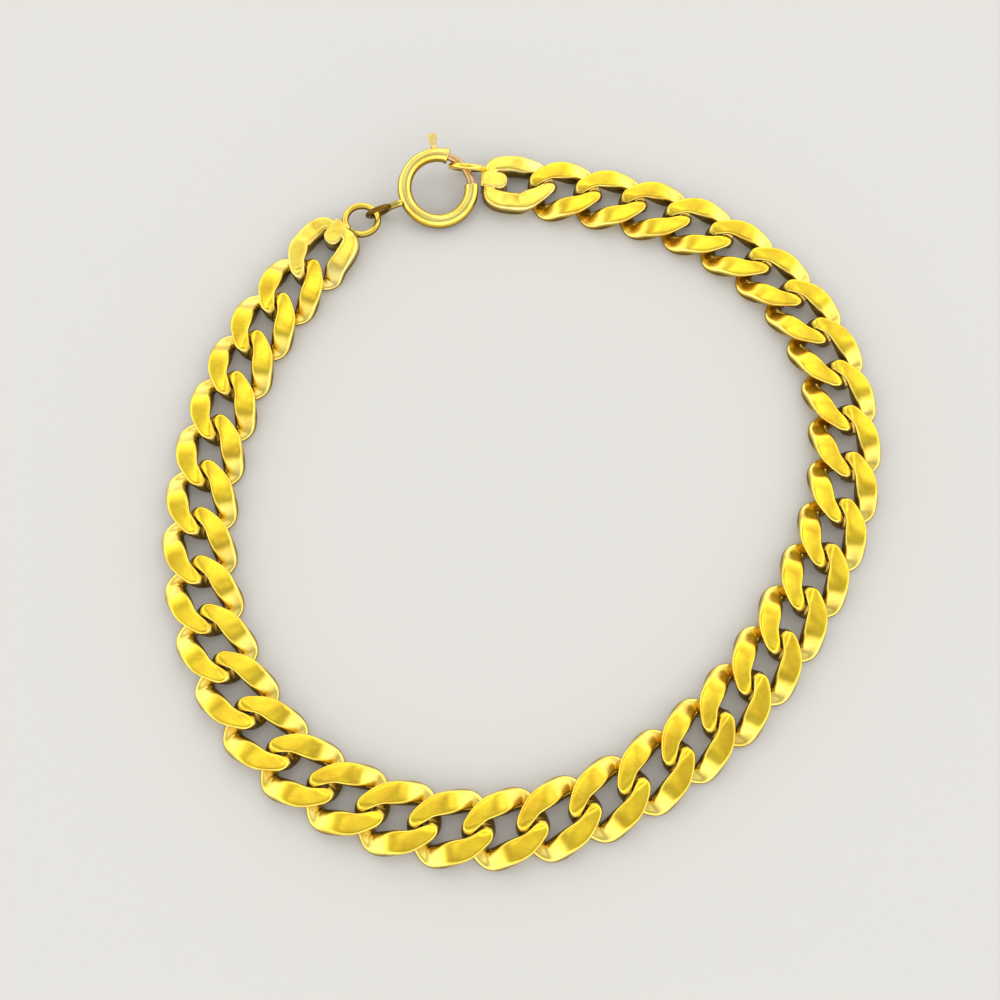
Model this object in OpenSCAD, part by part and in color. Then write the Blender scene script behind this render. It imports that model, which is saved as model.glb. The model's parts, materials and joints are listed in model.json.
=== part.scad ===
// Flat curb chain bracelet with a spring ring clasp, fastened and lying flat in a loop.
// Millimetres, +Z up, the surface it lies on at z = 0, the origin under the middle of the loop.

/* [Chain] */
// Number of links, the two end links included
link_count = 38; // [34:1:40]
// Distance from one link to the next
link_pitch = 4.67; // [4.6:0.01:5]
// Thickness of the chain between its two ground faces
chain_t = 2; // [1.9:0.05:2.3]
// Distance between the middles of a link's two limbs
limb_spacing = 4.44; // [4.4:0.02:4.9]
// Width of the wire in the middle of a limb
limb_w = 1.95; // [1.7:0.05:2]
// Height of the wire there, before both faces are ground
limb_h = 2.4; // [2.2:0.05:2.5]
// Diameter of the wire at a link's ends, where it meets the next link
link_wire_d = 1.4; // [1.3:0.02:1.46]
// Free play between two linked wires
link_play = 0.16; // [0.12:0.01:0.2]
// Twist of each half of a link out of the flat, in degrees
link_twist = 48; // [46:1:50]
// Rise of the twisted limbs before both faces are ground
link_rise = 2.5; // [2.45:0.05:2.6]
// How far each limb leans in towards its high end and out towards its low end
link_lean = 0.9; // [0.6:0.05:0.95]

/* [End rings] */
// Outer diameter of the two rings soldered to the end links
end_ring_d = 3.9; // [3.7:0.05:4.2]
// Wire of these rings
end_ring_wire_d = 0.65; // [0.55:0.05:0.7]
// Length of the tongue that fills an end link's free eye
filler_l = 2.6; // [2.4:0.1:2.9]
// Width of the tongue
filler_w = 1.7; // [1.5:0.1:2]
// Width of an end link's blunt end
end_w = 5.3; // [4.9:0.1:5.6]
// Length of the solid bar across that end
end_bar_l = 1.4; // [1.1:0.1:1.6]
// How far the ring at the left end and the one at the right end sit beside the chain's middle line
flat_ring_aside = 1; // [0.6:0.1:1.3]
edge_ring_aside = 1.1; // [0.7:0.1:1.4]
// Lean of the ring on edge from upright, in degrees
edge_ring_lean = 30; // [20:1:36]

/* [Spring ring] */
// Outer diameter of the spring ring
spring_ring_d = 8.1; // [7.4:0.1:8.6]
// Diameter of its tube
tube_d = 1.4; // [1.35:0.05:1.5]
// Wall of the tube
tube_wall = 0.25; // [0.2:0.01:0.28]
// Gap in the tube that the gate closes, in degrees
gap_angle = 66; // [62:1:70]
// Outer diameter of the eyelet
eyelet_d = 2.8; // [2.7:0.05:3.1]
// Wire of the eyelet
eyelet_wire_d = 0.5; // [0.4:0.05:0.55]
// Length of the lug between the tube and the eyelet
lug_l = 1.2; // [0.8:0.1:1.4]
// Diameter of the lug
lug_d = 0.7; // [0.6:0.05:0.8]
// How far the thumb lever stands out of the tube
lever_l = 1.5; // [1.2:0.1:1.9]
// Width of the lever's round tip
lever_tip_w = 0.95; // [0.8:0.05:1.1]
// Angle that the gate turns through when it opens
gate_travel = 60; // [50:1:60]
// Roll of the spring ring as it lies, its lever side raised, in degrees
spring_roll = 18; // [14:1:19]

/* [Hidden] */
$fn = 48;
// Gaps between loose pieces
fit_gap = 0.07;
floor_gap = 0.05;
// How far the gate stays back in the ring that hangs on it, which it crosses at a slant
hang_back = 0.28;
// Depth of a soldered seat
solder = 0.22;
// How far an end link's filled end stays under each ground face
filler_drop = 0.08;
// How far the tongue stands out of the blunt end, and the gap that shows beside its inner end
tongue_proud = 0.15;
tongue_gap = 0.2;
// Length and corner radius of the straight limbs of an end link
end_limb_l = 3.1;
end_corner_r = 0.35;

// Wire of a link, as an oval centre line that is twisted evenly along its length
link_half_l = (link_pitch + link_wire_d + link_play) / 2;
link_half_w = limb_spacing / 2;
half_t = chain_t / 2;
link_end = link_half_l + link_wire_d / 2;
link_segments = 16;
// How full the oval is halfway between its ends and its limbs
link_fullness = 0.22;
// Powers by which the wire grows wider and taller from a link's ends to its limbs
widening = 3;
heightening = 4;
// Half angle of the top and bottom of a wire section where it isn't ground
plain_half_angle = 30;

// Points that steer the loop's route, before it is scaled to the length of the chain and its clasp
route_points = [
    [-16, 31], [-19, 24], [-24, 18], [-27.5, 7], [-28.5, -5], [-25.5, -16],
    [-18.5, -26], [-8, -30.5], [3.5, -31], [14, -26], [23, -18], [28.5, -8.5],
    [33, 1.5], [33, 13], [28.5, 23.5], [18, 31], [7.5, 33], [-2.5, 34.5]
];
// Where on that route the first link begins
route_start = 5.1;
// Middle of the whole loop on the same points
route_middle = [2.5, 2.2];
route_steps = 12;

// Clasp
end_ring_r = end_ring_d / 2;
end_ring_wire_r = end_ring_wire_d / 2;
end_ring_mid_r = end_ring_r - end_ring_wire_r;
end_bar_at = link_end - tongue_proud;
end_ring_at = end_bar_at + end_ring_r - solder;
tube_r = tube_d / 2;
tube_mid_r = spring_ring_d / 2 - tube_r;
bore_r = tube_r - tube_wall;
gate_r = bore_r - fit_gap;
eyelet_r = eyelet_d / 2;
eyelet_at = spring_ring_d / 2 + lug_l + eyelet_r - eyelet_wire_d / 2;
// The eyelet lies along the ring's own +X, and all angles are counter-clockwise from it
gap_from = 164;
gap_to = gap_from + gap_angle;
// How far the gate reaches into the far end of the tube, from the gap to the lever, and past the lever
seat_angle = 4;
lever_angle = 24;
gate_tail = 14;
lever_at = gap_to + lever_angle;
lever_t = 0.45;
lever_neck_w = 0.6;
slot_margin = 1;
// How far the bore is cut past each end of the tube
bore_over = 2;
slot_half = asin(lever_neck_w / 2 / tube_mid_r) + slot_margin;

// Heights of the spring ring and its eyelet over the surface, and the pitch that brings the eyelet down
spring_z = tube_mid_r * sin(spring_roll) + tube_r + 2 * floor_gap;
eyelet_z = (eyelet_r - eyelet_wire_d / 2) * cos(spring_roll) + eyelet_wire_d / 2 + floor_gap;
spring_pitch = asin((spring_z - eyelet_z) / eyelet_at);

function turned(v, a) = [v.x * cos(a) - v.y * sin(a), v.x * sin(a) + v.y * cos(a)];
function unit(v) = v / norm(v);
// A point of the spring ring's own plane as the rolled and pitched ring holds it
function as_it_lies(p) =
    let (z = -p.y * sin(spring_roll))
    [
        p.x * cos(spring_pitch) + z * sin(spring_pitch), p.y * cos(spring_roll),
        z * cos(spring_pitch) - p.x * sin(spring_pitch)
    ];

// Where the ring on edge hangs on the gate, seen from the spring ring's middle
hold_angle = 197;
held = as_it_lies(tube_mid_r * [cos(hold_angle), sin(hold_angle)]);
hold_r = norm([held.x, held.y]);
hold_turn = atan2(held.y, held.x);
hold_z = spring_z + held.z;
// Room for the gate inside the ring on edge, and the share of it that the gate may lie above that ring's middle
hang_r = end_ring_mid_r - end_ring_wire_r - gate_r - fit_gap;
hang_share = 0.9;
// The ring on edge stands on the surface, or higher where the gate would pass too near its rim
edge_ring_z = max(
    end_ring_mid_r * cos(edge_ring_lean) + end_ring_wire_r + floor_gap,
    hold_z - hang_share * hang_r * cos(edge_ring_lean)
);
// How high up the leaning ring the gate crosses it, and how far from its middle along the chain
hold_up = (hold_z - edge_ring_z) / cos(edge_ring_lean);
gate_reach = sqrt(pow(hang_r, 2) - pow(hold_up, 2)) - hang_back;
// Middle of the eyelet to the wire that hangs in it
eyelet_up = (eyelet_z - half_t) / cos(spring_roll);
eyelet_reach = sqrt(pow(eyelet_r - eyelet_wire_d - end_ring_wire_r - fit_gap, 2) - pow(eyelet_up, 2));
ring_to_ring = eyelet_at * cos(spring_pitch) + eyelet_reach + end_ring_mid_r;

// Closed smooth curve through the pull of its points
function curve_point(p, q, r, s, t) =
    (p * pow(1 - t, 3) + q * (3 * pow(t, 3) - 6 * t * t + 4)
    + r * (-3 * pow(t, 3) + 3 * t * t + 3 * t + 1) + s * pow(t, 3)) / 6;
function around(list, i) = list[(i + len(list)) % len(list)];
route = [
    for (i = [0:len(route_points)], k = [0:(i < len(route_points) ? route_steps - 1 : 0)])
        curve_point(
            around(route_points, i - 1), around(route_points, i),
            around(route_points, i + 1), around(route_points, i + 2), k / route_steps
        ) - route_middle
];
route_lengths = [
    for (i = 0, s = 0; i < len(route); s = s + norm(route[min(i + 1, len(route) - 1)] - route[i]), i = i + 1) s
];
route_total = route_lengths[len(route) - 1];
route_x = [for (i = [0:len(route) - 1]) [route_lengths[i], route[i].x]];
route_y = [for (i = [0:len(route) - 1]) [route_lengths[i], route[i].y]];

// The route at scale k, s along it, and the links on it
function on_route(s, k) = k * [lookup(s / k, route_x), lookup(s / k, route_y)];
function joint(i, k) = on_route(route_start * k + i * link_pitch, k);
function link_middle(i, k) = (joint(i - 1, k) + joint(i, k)) / 2;
function link_way(i, k) = unit(joint(i, k) - joint(i - 1, k));
function flat_ring_middle(k) =
    link_middle(1, k) + turned([-end_ring_at, flat_ring_aside], atan2(link_way(1, k).y, link_way(1, k).x));
gate_aside = hold_up * sin(edge_ring_lean) - edge_ring_aside;
function gate_hold(k) =
    let (way = link_way(link_count, k))
    link_middle(link_count, k) + turned([end_ring_at + gate_reach, gate_aside], atan2(way.y, way.x));

// The scale at which the clasp just spans the gap between the two end links
clasp_span = sqrt(pow(ring_to_ring, 2) + pow(hold_r, 2) - 2 * ring_to_ring * hold_r * cos(hold_turn));
function fitted(k, tries) = tries == 0 ? k
    : fitted(k + (clasp_span - norm(gate_hold(k) - flat_ring_middle(k))) / route_total, tries - 1);
scale_k = fitted((link_count * link_pitch + 2 * end_ring_at + clasp_span) / route_total, 5);

flat_ring = flat_ring_middle(scale_k);
hold = gate_hold(scale_k);
clasp_line = norm(hold - flat_ring);
clasp_way = unit(hold - flat_ring);
spring_along = (pow(ring_to_ring, 2) - pow(hold_r, 2) + pow(clasp_line, 2)) / 2 / clasp_line;
spring_aside = sqrt(max(pow(ring_to_ring, 2) - pow(spring_along, 2), 0)) * sign(hold_turn);
spring_middle = flat_ring + spring_along * clasp_way + spring_aside * turned(clasp_way, 90);
spring_way = unit(flat_ring - spring_middle);

function link_name(i) = i == 1 ? "end_link_left" : i == link_count ? "end_link_right"
    : str("link_", i < 10 ? "0" : "", i);

// Centre line of a link at t degrees round it, and its direction there
function wire_twist(t) = -link_twist * cos(t);
function wire_point(t) =
    let (full_w = link_half_w * (1 + link_fullness * pow(sin(2 * t), 2)))
    [
        link_half_l * cos(t),
        full_w * sin(t) * cos(wire_twist(t)) + link_lean * pow(sin(t), 2) * cos(t),
        link_rise * sin(t) * sin(wire_twist(t))
    ];
function wire_way(t) = unit(wire_point(t + 0.5) - wire_point(t - 0.5));
function grown_r(t, limb, power) =
    (link_wire_d + (limb - link_wire_d) * pow(abs(sin(t)), power)) / 2;

// Six angles of a wire section, from its top: two on each ground face and two between
function face_half_angle(room, up) =
    max(plain_half_angle, acos(min(max(room / up, -1), 1)));
function section_angles(top, bottom) =
    let (side = (top + 180 - bottom) / 2)
    [top, side, 180 - bottom, 180 + bottom, 360 - side, 360 - top];
function wire_section(t) =
    let (
        c = wire_point(t),
        w = wire_way(t),
        rise = [0, 0, 1] - w.z * w,
        u = grown_r(t, limb_h, heightening) * unit(rise),
        v = grown_r(t, limb_w, widening) * cross(w, unit(rise)),
        angles = section_angles(face_half_angle(half_t - c.z, u.z), face_half_angle(half_t + c.z, u.z))
    )
    [for (a = angles) c + cos(a) * u + sin(a) * v];
link_points = [for (i = [0:link_segments - 1]) each wire_section(i * 360 / link_segments)];
link_faces = [
    for (i = [0:link_segments - 1], j = [0:5])
        let (next = (i + 1) % link_segments, side = (j + 1) % 6)
        each [
            [i * 6 + j, next * 6 + j, next * 6 + side],
            [i * 6 + j, next * 6 + side, i * 6 + side]
        ]
];

module curb_link() {
    polyhedron(link_points, link_faces);
}

module on_chain(i) {
    way = link_way(i, scale_k);
    translate([link_middle(i, scale_k).x, link_middle(i, scale_k).y, half_t])
        rotate([0, 0, atan2(way.y, way.x)])
            children();
}

// Ring or arc of round wire in the XY plane
module wire_arc(mid_r, wire_r, from = 0, sweep = 360) {
    rotate([0, 0, from])
        rotate_extrude(angle = sweep)
            translate([mid_r, 0])
                circle(wire_r);
}

// Plate with two rounded corners at its far end, from x = 0
module end_plate(l, w, t) {
    translate([0, -w / 2, 0])
        cube([l - end_corner_r, w, t]);
    translate([0, end_corner_r - w / 2, 0])
        cube([l, w - 2 * end_corner_r, t]);
    for (side = [-1, 1])
        translate([l - end_corner_r, side * (w / 2 - end_corner_r), 0])
            cylinder(r = end_corner_r, h = t);
}

// Blunt filled end of an end link: a bar with a straight limb on each side, and a tongue between them
module filled_end() {
    filler_t = chain_t - 2 * filler_drop;
    slot_w = filler_w + 2 * tongue_gap;
    translate([0, 0, -filler_t / 2]) {
        difference() {
            translate([end_bar_at - end_limb_l, 0, 0])
                end_plate(end_limb_l, end_w, filler_t);
            translate([0, -slot_w / 2, -filler_t])
                cube([end_bar_at - end_bar_l, slot_w, 3 * filler_t]);
        }
        translate([link_end - filler_l + filler_w / 2, 0, 0]) {
            cylinder(d = filler_w, h = filler_t);
            translate([0, -filler_w / 2, 0])
                cube([filler_l - filler_w / 2, filler_w, filler_t]);
        }
    }
}

module chain_link(i) {
    color("gold")
        on_chain(i)
            curb_link();
}

module end_link_left() {
    color("gold")
        on_chain(1) {
            curb_link();
            mirror([1, 0, 0])
                filled_end();
            translate([-end_ring_at, flat_ring_aside, 0])
                wire_arc(end_ring_mid_r, end_ring_wire_r);
        }
}

module end_link_right() {
    color("gold")
        on_chain(link_count) {
            curb_link();
            filled_end();
            translate([end_ring_at, -edge_ring_aside, edge_ring_z - half_t])
                rotate([90 - edge_ring_lean, 0, 0])
                    wire_arc(end_ring_mid_r, end_ring_wire_r);
        }
}

module on_clasp() {
    translate([spring_middle.x, spring_middle.y, spring_z])
        rotate([0, spring_pitch, atan2(spring_way.y, spring_way.x)])
            rotate([-spring_roll, 0, 0])
                children();
}

// Band of a slot on the outer side of the tube
module lever_slot() {
    slot_t = lever_t + 2 * fit_gap;
    rotate([0, 0, lever_at - slot_half])
        rotate_extrude(angle = gate_travel + 2 * slot_half)
            translate([tube_mid_r, -slot_t / 2])
                square([tube_d, slot_t]);
}

module spring_ring() {
    lug_to = eyelet_at - eyelet_r + eyelet_wire_d / 2;
    color("goldenrod")
        on_clasp()
            difference() {
                union() {
                    wire_arc(tube_mid_r, tube_r, gap_to, 360 - gap_angle);
                    translate([tube_mid_r, 0, 0])
                        rotate([0, 90, 0])
                            cylinder(d = lug_d, h = lug_to - tube_mid_r);
                    translate([eyelet_at, 0, 0])
                        rotate([90, 0, 0])
                            wire_arc(eyelet_r - eyelet_wire_d / 2, eyelet_wire_d / 2);
                }
                wire_arc(tube_mid_r, bore_r, gap_to - bore_over, 360 - gap_angle + 2 * bore_over);
                lever_slot();
            }
}

module gate() {
    lever_from = tube_mid_r;
    lever_to = spring_ring_d / 2 + lever_l - lever_tip_w / 2;
    color("khaki")
        on_clasp() {
            wire_arc(tube_mid_r, gate_r, gap_from - seat_angle, lever_at + gate_tail - gap_from + seat_angle);
            rotate([0, 0, lever_at]) {
                translate([lever_from, -lever_neck_w / 2, -lever_t / 2])
                    cube([lever_to - lever_from, lever_neck_w, lever_t]);
                translate([lever_to, 0, -lever_t / 2])
                    cylinder(d = lever_tip_w, h = lever_t);
            }
        }
}

for (i = [2:link_count - 1])
    chain_link(i);
end_link_left();
end_link_right();
spring_ring();
gate();
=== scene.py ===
# Looks of the link bracelet: fine ground links, end links, a spring ring clasp, and their gold.
import cmath
import json
import math
from collections import namedtuple

import bmesh
import bpy
import numpy as np
from mathutils import Matrix, Vector
from mathutils.kdtree import KDTree


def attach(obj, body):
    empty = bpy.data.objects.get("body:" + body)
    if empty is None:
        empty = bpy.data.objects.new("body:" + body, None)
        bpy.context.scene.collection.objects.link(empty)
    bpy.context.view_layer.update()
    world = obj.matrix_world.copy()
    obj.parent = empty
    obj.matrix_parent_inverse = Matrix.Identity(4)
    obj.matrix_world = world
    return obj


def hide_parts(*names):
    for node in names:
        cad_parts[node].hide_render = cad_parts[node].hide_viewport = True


MM = 0.001
SEED = 38

# Curb link, in millimetres. Its limbs are a little fuller, closer and more leaning than the CAD link's
LINK_PITCH = 4.67
CHAIN_T = 2.0
LIMB_SPACING = 4.34
LIMB_W = 2.12
LIMB_H = 2.4
LINK_WIRE_D = 1.4
LINK_PLAY = 0.16
LINK_TWIST = math.radians(48)
LINK_RISE = 2.5
LINK_LEAN = 1.0
LINK_FULLNESS = 0.22
# Powers by which the wire grows to a limb's width and height, and in the blunt half of an end link
WIDENING = 3
HEIGHTENING = 4
BLUNT_WIDENING = 1
BLUNT_HEIGHTENING = 0
HALF_L = (LINK_PITCH + LINK_WIRE_D + LINK_PLAY) / 2
HALF_T = CHAIN_T / 2
LINK_END = HALF_L + LINK_WIRE_D / 2

# How finely a link is made: its sections, the points across a face and down a flank, the tries that find
# where a face cuts the wire, and the step round the link that tells the wire's direction
SECTIONS = 132
FACET_POINTS = 5
FLANK_POINTS = 7
CUT_TRIES = 8
WAY_STEP = 0.005

# Rounded edge of a ground face, and the most of the face and of the flank that one edge takes
EDGE_ROUND = 0.3
FACE_SHARE = 0.3
FLANK_SHARE = 0.4
EDGE_STEPS = (0, 0.25, 0.5, 0.75, 1)

# The least angle round the wire from a face's own pole to its edge, at a limb's tail and at its head, and how
# softly the cut goes over to it. A tail goes over to a head where cos * sin of t is within TAIL_TURN of 0
TAIL_ANGLE = math.radians(28)
HEAD_ANGLE = math.radians(7)
TAIL_BLEND = 0.8
HEAD_BLEND = 0.25
TAIL_TURN = 0.25

# The polished faces fall away from the chain's middle line, and along each limb from TAIL_FROM to its tail,
# by TAIL_DEPTH at most. Each face is a little off true
DOME = 0.022
TAIL_FALL = 0.15
TAIL_FROM = -1.1
TAIL_DEPTH = 1.12
DEPTH_BLEND = 0.4
# From a head to a tail round a link's end, this far on each side of the chain's middle line
END_TURN = 1.2
OFF_TRUE = 0.022
FAULT_SLOPE = OFF_TRUE / 3

# End links
END_RING_D = 3.9
END_RING_WIRE_D = 0.65
SOLDER = 0.22
TONGUE_L = 2.6
TONGUE_W = 1.7
TONGUE_DROP = 0.08
TONGUE_PROUD = 0.15
TONGUE_EASE = 0.14
TONGUE_POINTS = 21
END_BAR_AT = LINK_END - TONGUE_PROUD
# Where the wire of the blunt free end runs, how square its corners are, and how its limbs close in
FREE_END_AT = END_BAR_AT - LINK_WIRE_D / 2
FREE_END_TAPER = 0.35
BLUNTNESS = 0.4
# How far round its looped half an end link's limbs go before they lean and twist in full
EASED_IN = 0.5
END_RING_AT = END_BAR_AT + END_RING_D / 2 - SOLDER
END_RING_MID_R = (END_RING_D - END_RING_WIRE_D) / 2
FLAT_RING_ASIDE = 1.0
EDGE_RING_ASIDE = 1.1
EDGE_RING_LEAN = math.radians(30)
FLOOR_GAP = 0.05

# Spring ring clasp, its angles in degrees from the eyelet
SPRING_RING_D = 8.1
TUBE_D = 1.4
TUBE_WALL = 0.25
TUBE_SECTIONS = 180
TUBE_SIDES = 36
GAP_FROM = 164
GAP_TO = 230
EYELET_D = 2.8
EYELET_WIRE_D = 0.5
LUG_L = 1.2
LUG_D = 0.7
LUG_POINTS = 12
# How far the collar stands out at the tube's mouth, how far in its middle is, and from there its slope
COLLAR = 0.07
COLLAR_MIDDLE = 3
COLLAR_SLOPE = (2, 4.5)
TUBE_MID_R = (SPRING_RING_D - TUBE_D) / 2
EYELET_MID_R = (EYELET_D - EYELET_WIRE_D) / 2
EYELET_AT = SPRING_RING_D / 2 + LUG_L + EYELET_MID_R

# Gate and lever. The lever's tip is an arc of LEVER_TIP_ARC half turns to each side. Its slot goes SLOT_ANGLE
# past its travel, and takes SLOT_FACETS of the tube's facets on each side of the middle one
GATE_D = 0.76
GATE_POINTS = 64
GATE_TRAVEL = 60
SEAT_ANGLE = 4
GATE_TAIL = 14
# The wire's ends are rounded over NOSE_POINTS points, down to its radius times the square root of NOSE_SHARE
NOSE_POINTS = 4
NOSE_SHARE = 0.05
LEVER_L = 1.5
LEVER_TIP_W = 0.95
LEVER_TIP_ARC = 0.6
LEVER_TIP_POINTS = 25
LEVER_NECK_W = 0.6
LEVER_T = 0.45
LEVER_EASE = 0.14
LEVER_AT = 254
SLOT_ANGLE = 6.1
SLOT_FACETS = 3

# A plate's level faces, those with a normal's height over LEVEL, are inset by PLATE_INSET, so that their
# shading stays level up to the eased edge
PLATE_INSET = 0.05
LEVEL = 0.99
EASE_SEGMENTS = 4

# An end link's flat end is found among its upright faces, this near to the way to its ring
UPRIGHT = 1e-4
END_SEARCH = math.radians(25)

# A link's marks: ranges of a point's slope, as its normal's height, and of its height in half thicknesses
FACE_SLOPE = (0.60, 0.88)
TAIL_SLOPE = (0.2, 0.5)
TAIL_HEIGHT = (0.1, 0.8)
EDGE_SLOPE = (0.25, 0.6)
EDGE_HEIGHT = (-0.2, 0.4)
FLANK_SLOPE = (0.25, 0.75)
FLANK_HEIGHT = (0, 0.85)
OPEN_SLOPE = (0.5, 0.8)
CREVICE_HEIGHT = (0.6, 0.85)
# Share of painted highlight on sloping tails, and how far up-facing tails are spared painted shade
TAIL_HIGHLIGHT = 0.6
TAIL_OPEN = 0.6
# Painted shade where the next link comes near and in the link's own eye
# Crevices: how near the next link is, and how near the middle line a point in the link's own eye is
CREVICE_GAP = (0.05, 0.42)
EYE_ASIDE = (1.1, 1.9)
EYE_SHADE = 0.9
# The marks of an end link's ring: a painted highlight on its up-facing side, painted shade on its lower half
RING_SLOPE = (-0.3, 0.5)
RING_HIGHLIGHT = 0.95
RING_SHADE = 0.5
# The clasp's marks: ranges of the slope, and of the reach beyond the tube, with how shaded it is there
# By slope: a lit colour and a painted highlight on the clasp's top, painted shade on its sides and underside
CLASP_FACE_SLOPE = (0.35, 0.8)
CLASP_EDGE_SLOPE = (0.8, 0.97)
CLASP_SHADE_SLOPE = (-0.1, 0.6)
CLASP_HIGHLIGHT = 0.35
LUG_REACH = (-0.1, 0.4)
LUG_SHADE = 0.7
# The lever's neck, where it meets the tube, takes painted shade
NECK_FROM = (-0.3, -0.1)
NECK_TO = (0.2, 0.6)
NECK_SHADE = 0.6
LEVER_REACH = (0, 0.4)

# Gold's patterns: noise as its scale for a metre and its detail, and ramps as their ranges from and to
DULL_GOLD = (0.78, 0.42, 0.03)
BLOTCHES = (520, 5)
BLOTCHES_DULL = (0.46, 0.7, 0, 0.55)
BLOTCHES_SHADED = (0.3, 0.6, 0.97, 0.85)
GRAIN = (2600, 3)
GRAIN_WEAR_HIGHLIGHT = (0.3, 0.55, 0.55, 1)
GRAIN_ROUGH = (0.3, 0.7)
UNEVEN = (900, 5)
SCRATCHES = (1, 2)
SCRATCH_STRETCH = (420, 9000, 900)
SCRATCH_WAYS = (0.45, 1.9)
SCRATCH_RANGE = (0.64, 0.74)
SCRATCH_ROUGH = 0.05
SCRATCH_HEIGHT = -0.12
SHADE_ROUGH = 0.2
BUMP_STRENGTH = 0.2
BUMP_DEPTH = 0.00005

# Camera, at the photograph's viewing angle, with its lengths in metres and its lens in millimetres
CAMERA_ELEVATION = 71
CAMERA_ROLL = 2.5
CAMERA_DISTANCE = 0.1215
CAMERA_LENS = 46.8
CAMERA_SENSOR = 36
CAMERA_CLIP = 0.001
CAMERA_TARGET = (-0.0025, -0.0022, 0)

# Floor and light
FLOOR_SIZE = 3
FLOOR_COLOUR = (0.7, 0.695, 0.68, 1)
FLOOR_ROUGH = 0.9
LIGHT_COLOUR = (1, 0.985, 0.95, 1)
# Soft lights in the sky: where each stands as (x, y) for a height of 1, its width and its strength
SKY_LIGHTS = [
    ((-0.13, 0.36), 0.13, 1.35),
    ((0.52, 0.38), 0.17, 1.1),
    ((0.05, 0.50), 0.10, 1.7),
    ((0.02, 0.88), 0.14, 0.7),
    ((-0.30, 0.08), 0.16, 0.9),
    ((0.06, -0.06), 0.12, 0.6),
]
SKY_TOP = 0.52
SKY_SIDES = 1.55
# Heights, as the sine of the elevation, between which the sky goes from its top to its sides
SKY_TOP_FROM = 0.9
SKY_SIDES_FROM = 0.5


def unit(v):
    return v / np.linalg.norm(v, axis=-1, keepdims=True)


def smooth_step(low, high, value):
    k = np.clip((value - low) / (high - low), 0, 1)
    return k * k * (3 - 2 * k)


def smooth_least(a, b, blend):
    """The lesser of a and b, going over smoothly where they are within blend of each other."""
    near = np.maximum(blend - np.abs(a - b), 0) / blend
    return np.minimum(a, b) - near ** 2 * blend / 4


def shares_between(count):
    """Shares of the way for points spread evenly between two ends."""
    return np.arange(1, count + 1) / (count + 1)


# Shape of a link

# A rounded edge: its points on the ground face, its steps over to the flank, and the flank's angle there
Edge = namedtuple("Edge", "inner steps flank_angle")


def wire_point(t, free_end=False):
    """Centre line of a link's wire. The free half of an end link lies flat and runs to a blunt end."""
    cos, sin = np.cos(t), np.sin(t)
    twist = -LINK_TWIST * cos
    full_w = LIMB_SPACING / 2 * (1 + LINK_FULLNESS * np.sin(2 * t) ** 2)
    eased = smooth_step(0, EASED_IN, -cos) if free_end else 1
    y = full_w * sin * np.cos(twist) + LINK_LEAN * sin ** 2 * cos * eased
    curb = np.stack([HALF_L * cos, y, LINK_RISE * sin * np.sin(twist) * eased], -1)
    if not free_end:
        return curb
    along = np.abs(cos) ** BLUNTNESS
    across = np.sign(sin) * np.abs(sin) ** BLUNTNESS * (LIMB_SPACING / 2 - FREE_END_TAPER * along ** 2)
    blunt = np.stack([FREE_END_AT * along, across, 0 * along], -1)
    return np.where((cos > 0)[:, None], blunt, curb)


def grown_r(t, limb, power, free_end, free_power):
    """Half the width or height of the wire, which grows from its own to a limb's."""
    growth = np.abs(np.sin(t)) ** np.where(free_end & (np.cos(t) > 0), free_power, power)
    return (LINK_WIRE_D + (limb - LINK_WIRE_D) * growth) / 2


def ground_height(p, face, faults, free_end):
    """Height of a ground face over the middle of the chain at the points p."""
    x, y = p[..., 0], p[..., 1]
    limb = (y > 0).astype(int)
    along = np.maximum(face * x * np.tanh(y / END_TURN) - TAIL_FROM, 0)
    fall = smooth_least(TAIL_FALL * along ** 2, TAIL_DEPTH, DEPTH_BLEND)
    if free_end:
        fall = fall * (face * y < 0)
    faults = faults[(1 - face) // 2]
    true = HALF_T - OFF_TRUE - DOME * y ** 2 - fall
    return true + faults[limb, 0] * np.abs(x) + faults[limb, 1] * np.abs(y)


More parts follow.
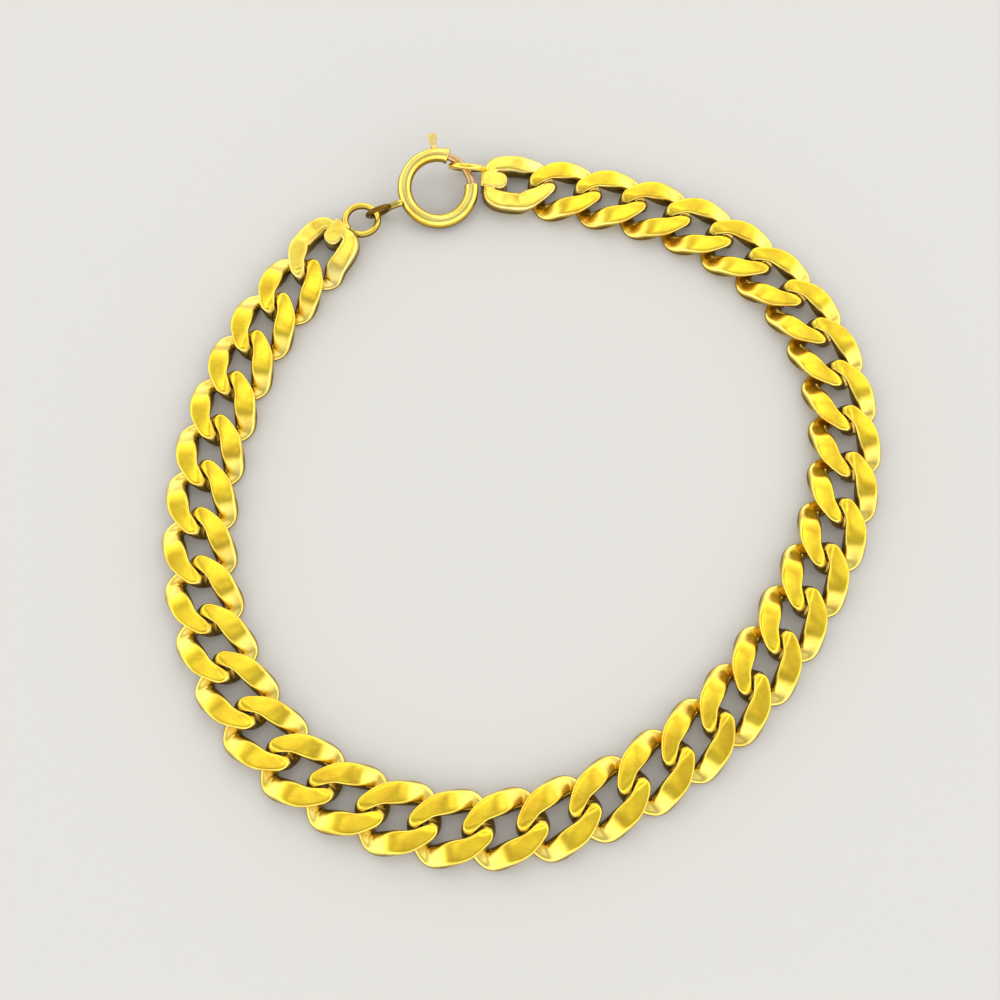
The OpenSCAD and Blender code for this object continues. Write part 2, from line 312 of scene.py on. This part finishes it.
def link_sections(faults, free_end):
    """Rings of points round the link's wire. Faces are 1 on top and -1 below, and sides 1 and -1."""
    t = (np.arange(SECTIONS) + 0.5) / SECTIONS * 2 * np.pi
    middle = wire_point(t, free_end)
    way = unit(wire_point(t + WAY_STEP, free_end) - wire_point(t - WAY_STEP, free_end))
    rise = unit(np.array([0, 0, 1]) - way[:, 2:3] * way)
    up = rise * grown_r(t, LIMB_H, HEIGHTENING, free_end, BLUNT_HEIGHTENING)[:, None]
    out = np.cross(way, rise) * grown_r(t, LIMB_W, WIDENING, free_end, BLUNT_WIDENING)[:, None]

    def at(angle):
        return middle + np.cos(angle)[:, None] * up + np.sin(angle)[:, None] * out

    def turn(face, side, angle):
        """Angle round the wire, from the angle between a face's own pole and a point towards a side."""
        return side * angle if face > 0 else np.pi - side * angle

    def cut_angle(face, side):
        """Angle from a face's own pole to the edge where that face is ground, or its least angle."""
        tail = smooth_step(-TAIL_TURN, TAIL_TURN, face * np.cos(t) * np.sin(t))
        least = math.cos(HEAD_ANGLE) + (math.cos(TAIL_ANGLE) - math.cos(HEAD_ANGLE)) * tail
        blend = HEAD_BLEND + (TAIL_BLEND - HEAD_BLEND) * tail
        angle = np.zeros(SECTIONS)
        for _ in range(CUT_TRIES):
            p = at(turn(face, side, angle))
            room = (ground_height(p, face, faults, free_end) - face * middle[:, 2]) / up[:, 2]
            angle = np.arccos(np.clip(room, -1, 1))
        return np.arccos(np.clip(smooth_least(np.cos(angle), least, blend), -1, 1))

    cuts = {(face, side): cut_angle(face, side) for face in (1, -1) for side in (1, -1)}

    def edge(face, side):
        cut = cuts[face, side]
        flank_room = np.pi - cut - cuts[-face, side]
        round_by = np.minimum(EDGE_ROUND / np.linalg.norm(out, axis=1), FLANK_SHARE * flank_room)
        corner = at(turn(face, side, cut))
        across = at(turn(face, side, -cuts[face, -side])) - corner
        width = np.linalg.norm(across, axis=1)[:, None]
        inner = corner + across * np.minimum(EDGE_ROUND / width, FACE_SHARE)
        flank_angle = turn(face, side, cut + round_by)
        outer = at(flank_angle)
        steps = [(1 - k) ** 2 * inner + 2 * k * (1 - k) * corner + k ** 2 * outer for k in EDGE_STEPS]
        return Edge(inner, steps, flank_angle)

    def facet(start, end, face):
        """Points across a ground face, between two of its edges."""
        def height(p):
            return ground_height(p, face, faults, free_end)

        points = []
        for k in shares_between(FACET_POINTS):
            p = start.inner + (end.inner - start.inner) * k
            level = (1 - k) * height(start.inner) + k * height(end.inner)
            p[:, 2] += face * (height(p) - level)
            points.append(p)
        return points

    def flank(start, end):
        """Points down a flank, from one face's edge to the other's."""
        angle = (end.flank_angle - start.flank_angle + np.pi) % (2 * np.pi) - np.pi
        return [at(start.flank_angle + angle * k) for k in shares_between(FLANK_POINTS)]

    top_r, top_l, low_r, low_l = (edge(face, side) for face in (1, -1) for side in (1, -1))
    rings = [
        facet(top_l, top_r, 1), top_r.steps, flank(top_r, low_r), low_r.steps[::-1],
        facet(low_r, low_l, -1), low_l.steps, flank(low_l, top_l), top_l.steps[::-1],
    ]
    return np.stack([p for ring in rings for p in ring], 1)


def closed_grid_faces(rows, columns):
    return [
        (i * columns + j, i * columns + (j + 1) % columns,
         (i + 1) % rows * columns + (j + 1) % columns, (i + 1) % rows * columns + j)
        for i in range(rows) for j in range(columns)
    ]


def link_mesh(rng, free_end=False):
    faults = rng.uniform(-FAULT_SLOPE, FAULT_SLOPE, (2, 2, 2))
    points = link_sections(faults, free_end)
    return points.reshape(-1, 3), closed_grid_faces(*points.shape[:2])


# Places, worked out from the frame

def node_points(node):
    return np.array([v.co for v in node.data.vertices]) / MM


def mass_moments(node):
    """Middle of a node's solid and the direction of its longer axis in plan."""
    points = node_points(node)
    faces = [tuple(p.vertices) for p in node.data.polygons]
    tri = np.array([(f[0], f[k], f[k + 1]) for f in faces for k in range(1, len(f) - 1)])
    a, b, c = (points[tri[:, k]] for k in range(3))
    volume = np.einsum("ij,ij->i", a, np.cross(b, c)) / 6
    middle = (volume[:, None] * (a + b + c)).sum(0) / 4 / volume.sum()
    a, b, c = a - middle, b - middle, c - middle
    volume = np.einsum("ij,ij->i", a, np.cross(b, c)) / 6
    total = a + b + c
    spread = sum(np.einsum("i,ij,ik->jk", volume, p, p) for p in (a, b, c, total)) / 20
    way = 0.5 * math.atan2(2 * spread[0, 1], spread[0, 0] - spread[1, 1])
    return middle, way


def link_names():
    return sorted(n for n in frame["nodes"] if n.startswith("link_"))


def direction(v):
    return math.atan2(v[1], v[0])


def place(middle, way):
    return Matrix.Translation(Vector(middle) * MM) @ Matrix.Rotation(way, 4, "Z") @ Matrix.Scale(MM, 4)


def link_places():
    """Place of each plain link, from its CAD node.

    The longer axis lies askew to the link by an angle that all links share. The step from one link's middle
    to the next goes half way between their two directions, so the steps tell that angle.
    """
    found = [mass_moments(frame["nodes"][name]) for name in link_names()]
    askew = 0
    for (middle, axis), (next_middle, next_axis) in zip(found, found[1:]):
        step = direction(next_middle - middle)
        askew += cmath.exp(2j * (axis - step)) + cmath.exp(2j * (next_axis - step))
    askew = cmath.phase(askew) / 2
    return {name: (middle, axis - askew) for name, (middle, axis) in zip(link_names(), found)}


def end_place(near, near_way, towards_end, node):
    """Place of an end link: it turns about its joint with the next link, and its flat end faces its ring."""
    step = Vector((math.cos(near_way), math.sin(near_way), 0))
    if step.dot(Vector(towards_end)) < 0:
        step.negate()
    joint = Vector(near) + step * LINK_PITCH / 2
    points = node_points(node)
    reach = np.linalg.norm(points[:, :2] - np.array(joint[:2]), axis=1)
    ring = points[reach > LINK_PITCH / 2 + END_RING_AT].mean(0)
    roughly = Vector((ring[0] - joint.x, ring[1] - joint.y, 0)).normalized()
    way = Vector((0, 0, 0))
    for face in node.data.polygons:
        if abs(face.normal.z) < UPRIGHT and face.normal.dot(roughly) > math.cos(END_SEARCH):
            way += face.normal * face.area
    way.normalize()
    return joint + way * LINK_PITCH / 2, direction(way)


def spring_ring_place():
    """The ring's own Z is the gate's axis, and its X goes to the eyelet, the furthest part of it."""
    joint = frame["joints"][0]
    middle = Vector(joint["pos_m"]) / MM
    own_z = Vector(joint["axis"]).normalized()
    points = node_points(frame["nodes"]["spring_ring"])
    reach = np.linalg.norm(points - np.array(middle), axis=1)
    eyelet = Vector(points[reach > SPRING_RING_D / 2 + LUG_L].mean(0)) - middle
    own_x = (eyelet - own_z * eyelet.dot(own_z)).normalized()
    axes = Matrix((own_x, own_z.cross(own_x), own_z)).transposed().to_4x4()
    return Matrix.Translation(middle * MM) @ axes @ Matrix.Scale(MM, 4)


# Simple closed meshes, as their points and faces

def wire_ring(mid_r, wire_r, around=96, sides=24):
    a = np.arange(around) / around * 2 * np.pi
    b = np.arange(sides) / sides * 2 * np.pi
    r = mid_r + wire_r * np.cos(b)[None, :]
    points = np.stack([
        r * np.cos(a)[:, None], r * np.sin(a)[:, None], np.tile(wire_r * np.sin(b), (around, 1))
    ], -1)
    return points.reshape(-1, 3), closed_grid_faces(around, sides)


def wire_rod(path, radii, sides=24):
    """Closed rod of round section along a path, its ends drawn together by the radii."""
    path = np.asarray(path, float)
    way = unit(np.gradient(path, axis=0))
    side = unit(np.cross(way, np.array([0, 0, 1.0])))
    up = np.cross(side, way)
    b = np.arange(sides) / sides * 2 * np.pi
    r = np.asarray(radii, float)[:, None, None]
    rings = path[:, None] + r * (
        np.cos(b)[None, :, None] * side[:, None] + np.sin(b)[None, :, None] * up[:, None]
    )
    rows = len(path)
    faces = [
        (i * sides + j, (i + 1) * sides + j, (i + 1) * sides + (j + 1) % sides, i * sides + (j + 1) % sides)
        for i in range(rows - 1) for j in range(sides)
    ]
    faces.append(tuple(range(sides)))
    faces.append(tuple((rows - 1) * sides + j for j in reversed(range(sides))))
    return rings.reshape(-1, 3), faces


def arc(x, radius, first, last, count):
    """Points of an arc round (x, 0), its first and last angle in half turns."""
    angles = np.linspace(first, last, count) * math.pi
    return [(x + radius * math.cos(a), radius * math.sin(a)) for a in angles]


def plate(outline, half_t, ease):
    """Flat plate of the outline's points with eased edges."""
    bm = bmesh.new()
    face = bm.faces.new([bm.verts.new((x, y, -half_t)) for x, y in outline])
    top = bmesh.ops.extrude_face_region(bm, geom=[face])
    raised = [v for v in top["geom"] if isinstance(v, bmesh.types.BMVert)]
    bmesh.ops.translate(bm, vec=(0, 0, 2 * half_t), verts=raised)
    bmesh.ops.recalc_face_normals(bm, faces=bm.faces)
    rims = [e for e in bm.edges if abs(e.verts[0].co.z - e.verts[1].co.z) < half_t]
    bmesh.ops.bevel(bm, geom=rims, offset=ease, segments=EASE_SEGMENTS, affect="EDGES", clamp_overlap=True)
    bm.normal_update()
    level = [f for f in bm.faces if abs(f.normal.z) > LEVEL]
    bmesh.ops.inset_individual(bm, faces=level, thickness=PLATE_INSET)
    points = np.array([v.co for v in bm.verts])
    faces = [tuple(v.index for v in f.verts) for f in bm.faces]
    bm.free()
    return points, faces


def turned(part, matrix):
    points, faces = part
    rotation = np.array(matrix.to_3x3())
    return points @ rotation.T + np.array(matrix.translation), faces


# Objects

def new_object(name, points, faces):
    mesh = bpy.data.meshes.new(name)
    mesh.from_pydata([tuple(p) for p in points], [], faces)
    obj = bpy.data.objects.new(name, mesh)
    bpy.context.scene.collection.objects.link(obj)
    return obj


def smooth_object(name, points, faces):
    obj = new_object(name, points, faces)
    obj.data.update()
    obj.data.shade_smooth()
    return obj


def fused(parts):
    """Points and faces of several closed meshes as one closed mesh, fused one after the other."""
    whole = parts[0]
    for other in parts[1:]:
        made = [new_object("part", *part) for part in (whole, other)]
        for obj in made:
            obj.modifiers.new("triangles", "TRIANGULATE")
        union = made[0].modifiers.new("union", "BOOLEAN")
        union.operation = "UNION"
        union.solver = "MANIFOLD"
        union.object = made[1]
        result = made[0].evaluated_get(bpy.context.evaluated_depsgraph_get()).to_mesh()
        whole = np.array([v.co for v in result.vertices]), [tuple(f.vertices) for f in result.polygons]
        made[0].to_mesh_clear()
        for obj in made:
            bpy.data.meshes.remove(obj.data)
    return whole


def put(obj, matrix, material, node):
    obj.data.transform(matrix)
    obj.data.materials.append(material)
    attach(obj, "gate" if node == "gate" else "bracelet")
    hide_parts(node)


# Marks: how polished each point is, its wear and painted highlight, its painted shade, for the gold to read

def set_mark(obj, mark, values):
    layer = obj.data.attributes.get(mark) or obj.data.attributes.new(mark, "FLOAT", "POINT")
    layer.data.foreach_set("value", np.asarray(values, np.float32))


def slopes(obj):
    return np.array([v.normal.z for v in obj.data.vertices])


def mark_link(obj, hidden):
    """Marks a link from its points' height and slope, and from how hidden they are."""
    z = np.array([v.co.z for v in obj.data.vertices]) / HALF_T
    slope = slopes(obj)
    face = smooth_step(*FACE_SLOPE, np.abs(slope))
    # Painted highlight on tails and rounded edges, painted shade on low flanks and on hidden points
    tail = smooth_step(*TAIL_SLOPE, slope) * (1 - smooth_step(*TAIL_HEIGHT, z))
    edge = smooth_step(*EDGE_SLOPE, slope) * smooth_step(*EDGE_HEIGHT, z) * (1 - face)
    low = (1 - smooth_step(*FLANK_HEIGHT, z)) * (1 - smooth_step(*FLANK_SLOPE, slope))
    open_tail = TAIL_OPEN * smooth_step(*OPEN_SLOPE, slope)
    crevice = hidden * (1 - smooth_step(*CREVICE_HEIGHT, z)) * (1 - open_tail)
    set_mark(obj, "ground", face)
    set_mark(obj, "edge", np.maximum(edge, TAIL_HIGHLIGHT * tail))
    set_mark(obj, "shade", np.maximum(low * (1 - face), crevice))


def mark_clasp(obj, shaded):
    slope = slopes(obj)
    # Painted light by slope: the lit colour on top, a painted highlight on the tops, painted shade below
    set_mark(obj, "ground", smooth_step(*CLASP_FACE_SLOPE, slope))
    set_mark(obj, "edge", CLASP_HIGHLIGHT * smooth_step(*CLASP_EDGE_SLOPE, slope))
    set_mark(obj, "shade", np.maximum(shaded, 1 - smooth_step(*CLASP_SHADE_SLOPE, slope)))


def crevices(points, link, sides):
    """How hidden each point is, by the next links on the given sides and by the link's own eye."""
    # The points found hidden here are given painted shade
    tree = KDTree(len(link) * len(sides))
    for k, side in enumerate(sides):
        for i, p in enumerate(link):
            tree.insert(p + np.array((side * LINK_PITCH, 0, 0)), k * len(link) + i)
    tree.balance()
    near = np.array([tree.find(p)[2] for p in points])
    eye = 1 - smooth_step(*EYE_ASIDE, np.abs(points[:, 1]))
    return np.maximum(1 - smooth_step(*CREVICE_GAP, near), EYE_SHADE * eye)


# Nodes, gold and floor

class NodeMaker:
    """Makes and links the nodes of one node tree."""

    def __init__(self, tree):
        self.tree = tree

    def add(self, kind, **values):
        node = self.tree.nodes.new(kind)
        for key, value in values.items():
            setattr(node, key, value)
        return node

    def fill(self, socket, value):
        """Links a socket to another node's output, or sets it to a number or a colour."""
        if isinstance(value, bpy.types.NodeSocket):
            self.tree.links.new(value, socket)
        elif isinstance(value, tuple):
            socket.default_value = (*value, 1)
        else:
            socket.default_value = value

    def calculate(self, operation, *values):
        node = self.add("ShaderNodeMath", operation=operation)
        for socket, value in zip(node.inputs, values):
            self.fill(socket, value)
        return node.outputs[0]

    def ramp(self, value, low, high, to_low=0.0, to_high=1.0, **values):
        node = self.add("ShaderNodeMapRange", **values)
        for socket, number in zip(node.inputs, (value, low, high, to_low, to_high)):
            self.fill(socket, number)
        return node.outputs[0]

    def mix(self, share, first, second):
        """Mix of two colours, whose sockets come after those for numbers and vectors."""
        node = self.add("ShaderNodeMix", data_type="RGBA")
        for socket, value in zip((node.inputs[0], *node.inputs[6:8]), (share, first, second)):
            self.fill(socket, value)
        return node.outputs[2]

    def noise(self, place, scale, detail):
        node = self.add("ShaderNodeTexNoise")
        node.inputs["Scale"].default_value = scale
        node.inputs["Detail"].default_value = detail
        self.fill(node.inputs["Vector"], place)
        return node.outputs["Fac"]

    def stretched(self, place, scale, angle):
        node = self.add("ShaderNodeMapping")
        node.inputs["Scale"].default_value = scale
        node.inputs["Rotation"].default_value = (0, 0, angle)
        self.fill(node.inputs["Vector"], place)
        return node.outputs["Vector"]

    def mark(self, attribute):
        return self.add("ShaderNodeAttribute", attribute_name=attribute).outputs["Fac"]


def gold(name, ground, wire, edge, shade, rough):
    """Worn gilt: polished faces, rounder wire, worn edges with painted highlight, and painted shade."""
    material = bpy.data.materials.new(name)
    material.use_nodes = True
    shader = material.node_tree.nodes["Principled BSDF"]
    shader.inputs["Metallic"].default_value = 1
    make = NodeMaker(material.node_tree)
    at = make.add("ShaderNodeTexCoord").outputs["Object"]
    blotches = make.noise(at, *BLOTCHES)
    grain = make.noise(at, *GRAIN)

    # The edge mark mixes in wear and a painted highlight, the shade mark painted shade
    wear_and_highlight = make.calculate("MULTIPLY", make.mark("edge"), make.ramp(grain, *GRAIN_WEAR_HIGHLIGHT))
    shaded = make.calculate("MULTIPLY", make.mark("shade"), make.ramp(blotches, *BLOTCHES_SHADED))
    colour = make.mix(make.mark("ground"), wire, ground)
    colour = make.mix(wear_and_highlight, colour, edge)
    colour = make.mix(make.ramp(blotches, *BLOTCHES_DULL), colour, DULL_GOLD)
    make.fill(shader.inputs["Base Color"], make.mix(shaded, colour, shade))

    lines = make.calculate("MAXIMUM", *(
        make.ramp(make.noise(make.stretched(at, SCRATCH_STRETCH, way), *SCRATCHES), *SCRATCH_RANGE)
        for way in SCRATCH_WAYS
    ))
    dull = make.calculate("MULTIPLY_ADD", lines, SCRATCH_ROUGH, make.ramp(grain, *GRAIN_ROUGH, *rough))
    dull = make.calculate("MULTIPLY_ADD", make.mark("shade"), SHADE_ROUGH, dull)
    make.fill(shader.inputs["Roughness"], dull)

    bump = make.add("ShaderNodeBump")
    bump.inputs["Strength"].default_value = BUMP_STRENGTH
    bump.inputs["Distance"].default_value = BUMP_DEPTH
    height = make.calculate("MULTIPLY_ADD", lines, SCRATCH_HEIGHT, make.noise(at, *UNEVEN))
    make.fill(bump.inputs["Height"], height)
    make.fill(shader.inputs["Normal"], bump.outputs["Normal"])
    return material


def floor_material():
    material = bpy.data.materials.new("pale_floor")
    material.use_nodes = True
    shader = material.node_tree.nodes["Principled BSDF"]
    shader.inputs["Base Color"].default_value = FLOOR_COLOUR
    shader.inputs["Roughness"].default_value = FLOOR_ROUGH
    return material


# Stage: camera, floor and light

def build_camera():
    elevation = math.radians(CAMERA_ELEVATION)
    data = bpy.data.cameras.new("camera")
    data.lens = CAMERA_LENS
    data.sensor_width = CAMERA_SENSOR
    data.clip_start = CAMERA_CLIP
    camera = bpy.data.objects.new("camera", data)
    bpy.context.scene.collection.objects.link(camera)
    offset = Vector((0, -math.cos(elevation), math.sin(elevation))) * CAMERA_DISTANCE
    camera.location = Vector(CAMERA_TARGET) + offset
    aim = (-offset).to_track_quat("-Z", "Y").to_matrix().to_4x4()
    camera.matrix_world = (
        Matrix.Translation(camera.location) @ aim @ Matrix.Rotation(math.radians(CAMERA_ROLL), 4, "Z")
    )
    bpy.context.scene.camera = camera


def build_floor():
    bpy.ops.mesh.primitive_plane_add(size=FLOOR_SIZE)
    floor = bpy.context.object
    floor.name = "floor"
    floor.data.materials.append(floor_material())


def build_light():
    """Sky that is darker at its top than at its sides, with soft lights in it."""
    world = bpy.data.worlds.new("studio")
    bpy.context.scene.world = world
    world.use_nodes = True
    background = world.node_tree.nodes["Background"]
    make = NodeMaker(world.node_tree)
    way = make.add("ShaderNodeTexCoord").outputs["Generated"]
    split = make.add("ShaderNodeSeparateXYZ")
    make.fill(split.inputs[0], way)
    total = make.ramp(
        split.outputs["Z"], SKY_SIDES_FROM, SKY_TOP_FROM, SKY_SIDES, SKY_TOP, interpolation_type="SMOOTHSTEP"
    )
    for (x, y), width, strength in SKY_LIGHTS:
        dot = make.add("ShaderNodeVectorMath", operation="DOT_PRODUCT")
        make.fill(dot.inputs[0], way)
        dot.inputs[1].default_value = Vector((x, y, 1)).normalized()
        away = make.calculate("SUBTRACT", 1, dot.outputs["Value"])
        spot = make.calculate("EXPONENT", make.calculate("MULTIPLY", away, -2 / width ** 2))
        total = make.calculate("MULTIPLY_ADD", spot, strength, total)
    make.fill(background.inputs["Strength"], total)
    background.inputs["Color"].default_value = LIGHT_COLOUR
    bpy.context.scene.view_settings.view_transform = "Standard"


# The bracelet's pieces

def build_links(material):
    rng = np.random.default_rng(SEED)
    points = link_mesh(rng)[0]
    crevice = crevices(points, points, (-1, 1))
    places = link_places()
    for name, (middle, way) in places.items():
        obj = smooth_object("fine_" + name, *link_mesh(rng))
        mark_link(obj, crevice)
        put(obj, place(middle, way), material, name)
    return places


def tongue():
    """Tongue that fills the free eye, its inner end round."""
    half_w = TONGUE_W / 2
    inner = arc(LINK_END - TONGUE_L + half_w, half_w, 0.5, 1.5, TONGUE_POINTS)
    return plate(inner + [(LINK_END, -half_w), (LINK_END, half_w)], HALF_T - TONGUE_DROP, TONGUE_EASE)


def end_ring_seat(on_edge):
    if not on_edge:
        return Matrix.Translation((END_RING_AT, -FLAT_RING_ASIDE, 0))
    height = END_RING_MID_R * math.cos(EDGE_RING_LEAN) + END_RING_WIRE_D / 2 + FLOOR_GAP - HALF_T
    seat = Matrix.Translation((END_RING_AT, -EDGE_RING_ASIDE, height))
    return seat @ Matrix.Rotation(math.pi / 2 - EDGE_RING_LEAN, 4, "X")


def build_end_link(node, middle, way, on_edge, material):
    rng = np.random.default_rng(SEED + int(on_edge))
    link = link_mesh(rng, free_end=True)
    ring = wire_ring(END_RING_MID_R, END_RING_WIRE_D / 2)
    points, faces = fused([link, tongue(), turned(ring, end_ring_seat(on_edge))])
    obj = smooth_object("fine_" + node, points, faces)
    crevice = crevices(points, link_mesh(rng)[0], (-1,))
    # The ring takes painted shade on its lower half and a painted highlight on its up-facing side
    on_ring = points[:, 0] > LINK_END + SOLDER / 2
    mark_link(obj, np.where(on_ring, RING_SHADE * (points[:, 2] < 0), crevice))
    wear_and_highlight = np.array([v.value for v in obj.data.attributes["edge"].data])
    set_mark(obj, "edge", np.where(on_ring, RING_HIGHLIGHT * smooth_step(*RING_SLOPE, slopes(obj)), wear_and_highlight))
    put(obj, place(middle, way), material, node)


def tube_shell():
    """Tube of the spring ring with its bore, open at both ends and slotted on its outer side."""
    degrees = np.linspace(GAP_TO, GAP_FROM + 360, TUBE_SECTIONS)
    angles = np.radians(degrees)
    collar = COLLAR * (1 - smooth_step(*COLLAR_SLOPE, np.abs(degrees - GAP_TO - COLLAR_MIDDLE)))
    b = (np.arange(TUBE_SIDES) + 0.5) / TUBE_SIDES * 2 * np.pi
    layers = []
    for r in (TUBE_D / 2 + collar, np.full(TUBE_SECTIONS, TUBE_D / 2 - TUBE_WALL)):
        ring = TUBE_MID_R + r[:, None] * np.cos(b)[None, :]
        layers.append(np.stack([
            ring * np.cos(angles)[:, None], ring * np.sin(angles)[:, None], r[:, None] * np.sin(b)[None, :]
        ], -1).reshape(-1, 3))
    half = TUBE_SECTIONS * TUBE_SIDES
    slot_from, slot_to = LEVER_AT - SLOT_ANGLE, LEVER_AT + GATE_TRAVEL + SLOT_ANGLE

    def slotted(i, j):
        in_slot = slot_from < (degrees[i] + degrees[i + 1]) / 2 < slot_to
        return in_slot and (j < SLOT_FACETS or j >= TUBE_SIDES - 1 - SLOT_FACETS)

    outer, inner = [], []
    for i in range(TUBE_SECTIONS - 1):
        for j in range(TUBE_SIDES):
            if slotted(i, j):
                continue
            this, after = i * TUBE_SIDES, (i + 1) * TUBE_SIDES
            k = (j + 1) % TUBE_SIDES
            outer.append((this + j, after + j, after + k, this + k))
            inner.append((half + this + j, half + this + k, half + after + k, half + after + j))
    edges = {(f[m], f[(m + 1) % 4]) for f in outer for m in range(4)}
    rims = [(n, m, half + m, half + n) for m, n in edges if (n, m) not in edges]
    return np.concatenate(layers), outer + inner + sorted(rims)


def build_spring_ring(matrix, material):
    lug_from = TUBE_MID_R + TUBE_D / 2 - TUBE_WALL / 2
    lug_path = [(x, 0, 0) for x in np.linspace(lug_from, EYELET_AT - EYELET_MID_R, LUG_POINTS)]
    eyelet = turned(
        wire_ring(EYELET_MID_R, EYELET_WIRE_D / 2),
        Matrix.Translation((EYELET_AT, 0, 0)) @ Matrix.Rotation(math.pi / 2, 4, "X"),
    )
    points, faces = fused([tube_shell(), wire_rod(lug_path, [LUG_D / 2] * LUG_POINTS), eyelet])
    obj = smooth_object("fine_spring_ring", points, faces)
    reach = np.linalg.norm(points[:, :2], axis=1) - SPRING_RING_D / 2
    mark_clasp(obj, LUG_SHADE * smooth_step(*LUG_REACH, reach))
    put(obj, matrix, material, "spring_ring")


def lever():
    half_tip = LEVER_TIP_W / 2
    half_neck = LEVER_NECK_W / 2
    tip_at = SPRING_RING_D / 2 + LEVER_L - half_tip
    shoulder = tip_at - half_tip
    tip = arc(tip_at, half_tip, -LEVER_TIP_ARC, LEVER_TIP_ARC, LEVER_TIP_POINTS)
    outline = [(TUBE_MID_R, -half_neck), (shoulder, -half_neck)] + tip
    outline += [(shoulder, half_neck), (TUBE_MID_R, half_neck)]
    return plate(outline, LEVER_T / 2, LEVER_EASE)


def build_gate(matrix, material):
    angles = np.radians(np.linspace(GAP_FROM - SEAT_ANGLE, LEVER_AT + GATE_TAIL, GATE_POINTS))
    path = np.stack([TUBE_MID_R * np.cos(angles), TUBE_MID_R * np.sin(angles), 0 * angles], -1)
    from_end = np.minimum(np.arange(GATE_POINTS), np.arange(GATE_POINTS)[::-1])
    wire = wire_rod(path, GATE_D / 2 * np.minimum(1, np.sqrt(from_end / NOSE_POINTS + NOSE_SHARE)))
    points, faces = fused([wire, turned(lever(), Matrix.Rotation(math.radians(LEVER_AT), 4, "Z"))])
    obj = smooth_object("fine_gate", points, faces)
    reach = np.linalg.norm(points[:, :2], axis=1) - SPRING_RING_D / 2
    # Painted shade at the lever's neck, where it meets the tube
    mark_clasp(obj, NECK_SHADE * (1 - smooth_step(*NECK_TO, reach)) * smooth_step(*NECK_FROM, reach))
    set_mark(obj, "ground", smooth_step(*LEVER_REACH, reach))
    put(obj, matrix, material, "gate")


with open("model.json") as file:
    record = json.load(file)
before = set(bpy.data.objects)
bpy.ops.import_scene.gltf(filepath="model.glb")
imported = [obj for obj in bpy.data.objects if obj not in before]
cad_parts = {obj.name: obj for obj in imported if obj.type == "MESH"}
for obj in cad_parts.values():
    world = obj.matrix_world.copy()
    obj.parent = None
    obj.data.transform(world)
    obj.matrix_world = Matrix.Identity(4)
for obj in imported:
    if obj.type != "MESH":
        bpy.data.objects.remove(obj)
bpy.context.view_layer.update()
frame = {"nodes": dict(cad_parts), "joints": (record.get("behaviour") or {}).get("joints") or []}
build_camera()
build_floor()
build_light()

# Edge colours are wear and painted highlight, shade colours painted shade; the links' paler wire, painted
# sheen
chain_gold = gold(
    "chain_gold", ground=(1.0, 0.73, 0.045), wire=(1.0, 0.72, 0.09), edge=(1.0, 0.87, 0.30),
    shade=(0.10, 0.05, 0.006), rough=(0.18, 0.26),
)
end_gold = gold(
    "end_gold", ground=(1.0, 0.79, 0.12), wire=(1.0, 0.77, 0.18), edge=(1.0, 0.90, 0.45),
    shade=(0.12, 0.065, 0.01), rough=(0.2, 0.28),
)
# On the spring ring, ground and wire are a lit and a shaded copy of the gilt, set by slope
clasp_gold = gold(
    "clasp_gold", ground=(1.0, 0.81, 0.14), wire=(0.66, 0.40, 0.03), edge=(1.0, 0.90, 0.42),
    shade=(0.12, 0.065, 0.008), rough=(0.14, 0.22),
)
gate_gold = gold(
    "gate_gold", ground=(1.0, 0.80, 0.25), wire=(0.66, 0.40, 0.18), edge=(1.0, 0.86, 0.50),
    shade=(0.22, 0.10, 0.04), rough=(0.2, 0.3),
)

placed = build_links(chain_gold)
names = sorted(placed)
first, second, before_last, last = (placed[n] for n in (names[0], names[1], names[-2], names[-1]))
left = end_place(*first, first[0] - second[0], frame["nodes"]["end_link_left"])
right = end_place(*last, last[0] - before_last[0], frame["nodes"]["end_link_right"])
build_end_link("end_link_left", *left, False, end_gold)
build_end_link("end_link_right", *right, True, end_gold)
ring_place = spring_ring_place()
build_spring_ring(ring_place, clasp_gold)
build_gate(ring_place, gate_gold)
